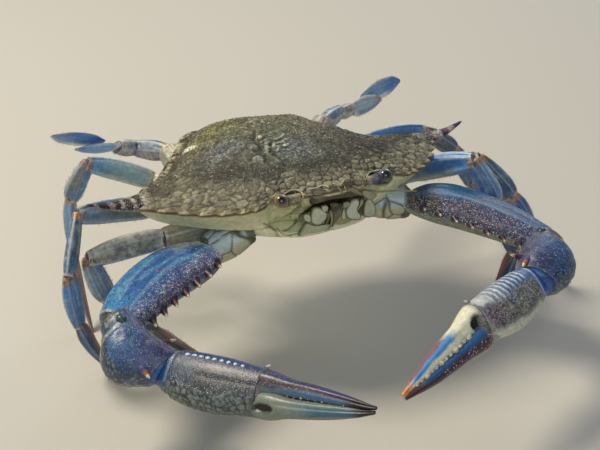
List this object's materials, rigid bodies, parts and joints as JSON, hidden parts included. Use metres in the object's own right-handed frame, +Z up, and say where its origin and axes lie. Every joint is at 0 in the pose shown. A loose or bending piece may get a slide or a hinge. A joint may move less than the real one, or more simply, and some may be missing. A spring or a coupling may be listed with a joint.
{
  "type": "blue swimming crab",
  "caption": "Life-size blue swimming crab standing on its walking legs, claws spread in front and paddle legs raised behind.",
  "frame": {"origin": "on the floor, under the middle of the bounding box", "axes": "+Z up; the crab faces -Y and its own left side is +X"},
  "size_m": [0.1976, 0.1796, 0.074],
  "materials": {
    "shell": "granular grey-olive carapace with mottling",
    "belly": "smooth pale breast plates",
    "claw": "blue and violet shell with pale granules",
    "finger": "smooth blue to violet, dark at the tips",
    "leg": "smooth blue shell with pale ridges",
    "eye": "glossy dark cornea",
    "feeler": "dull tan"
  },
  "bodies": {
    "root": {"carapace": "shell", "thorax": "belly", "abdomen": "belly", "maxilliped_R": "belly", "eye_R": "eye", "antenna_R": "feeler", "claw_R_ischium": "claw", "claw_R_merus": "claw", "claw_R_carpus": "claw", "claw_R_palm": "claw", "claw_R_dactyl": "finger", "leg2_R_ischium": "leg", "leg2_R_merus": "leg", "leg2_R_carpus": "leg", "leg2_R_propodus": "leg", "leg2_R_dactyl": "leg", "leg3_R_ischium": "leg", "leg3_R_merus": "leg", "leg3_R_carpus": "leg", "leg3_R_propodus": "leg", "leg3_R_dactyl": "leg", "leg4_R_ischium": "leg", "leg4_R_merus": "leg", "leg4_R_carpus": "leg", "leg4_R_propodus": "leg", "leg4_R_dactyl": "leg", "swim_R_ischium": "leg", "swim_R_merus": "leg", "swim_R_carpus": "leg", "swim_R_propodus": "leg", "swim_R_paddle": "leg", "maxilliped_L": "belly", "eye_L": "eye", "antenna_L": "feeler", "claw_L_ischium": "claw", "claw_L_merus": "claw", "claw_L_carpus": "claw", "claw_L_palm": "claw", "claw_L_dactyl": "finger", "leg2_L_ischium": "leg", "leg2_L_merus": "leg", "leg2_L_carpus": "leg", "leg2_L_propodus": "leg", "leg2_L_dactyl": "leg", "leg3_L_ischium": "leg", "leg3_L_merus": "leg", "leg3_L_carpus": "leg", "leg3_L_propodus": "leg", "leg3_L_dactyl": "leg", "leg4_L_ischium": "leg", "leg4_L_merus": "leg", "leg4_L_carpus": "leg", "leg4_L_propodus": "leg", "leg4_L_dactyl": "leg", "swim_L_ischium": "leg", "swim_L_merus": "leg", "swim_L_carpus": "leg", "swim_L_propodus": "leg", "swim_L_paddle": "leg"}
  },
  "joints": []
}
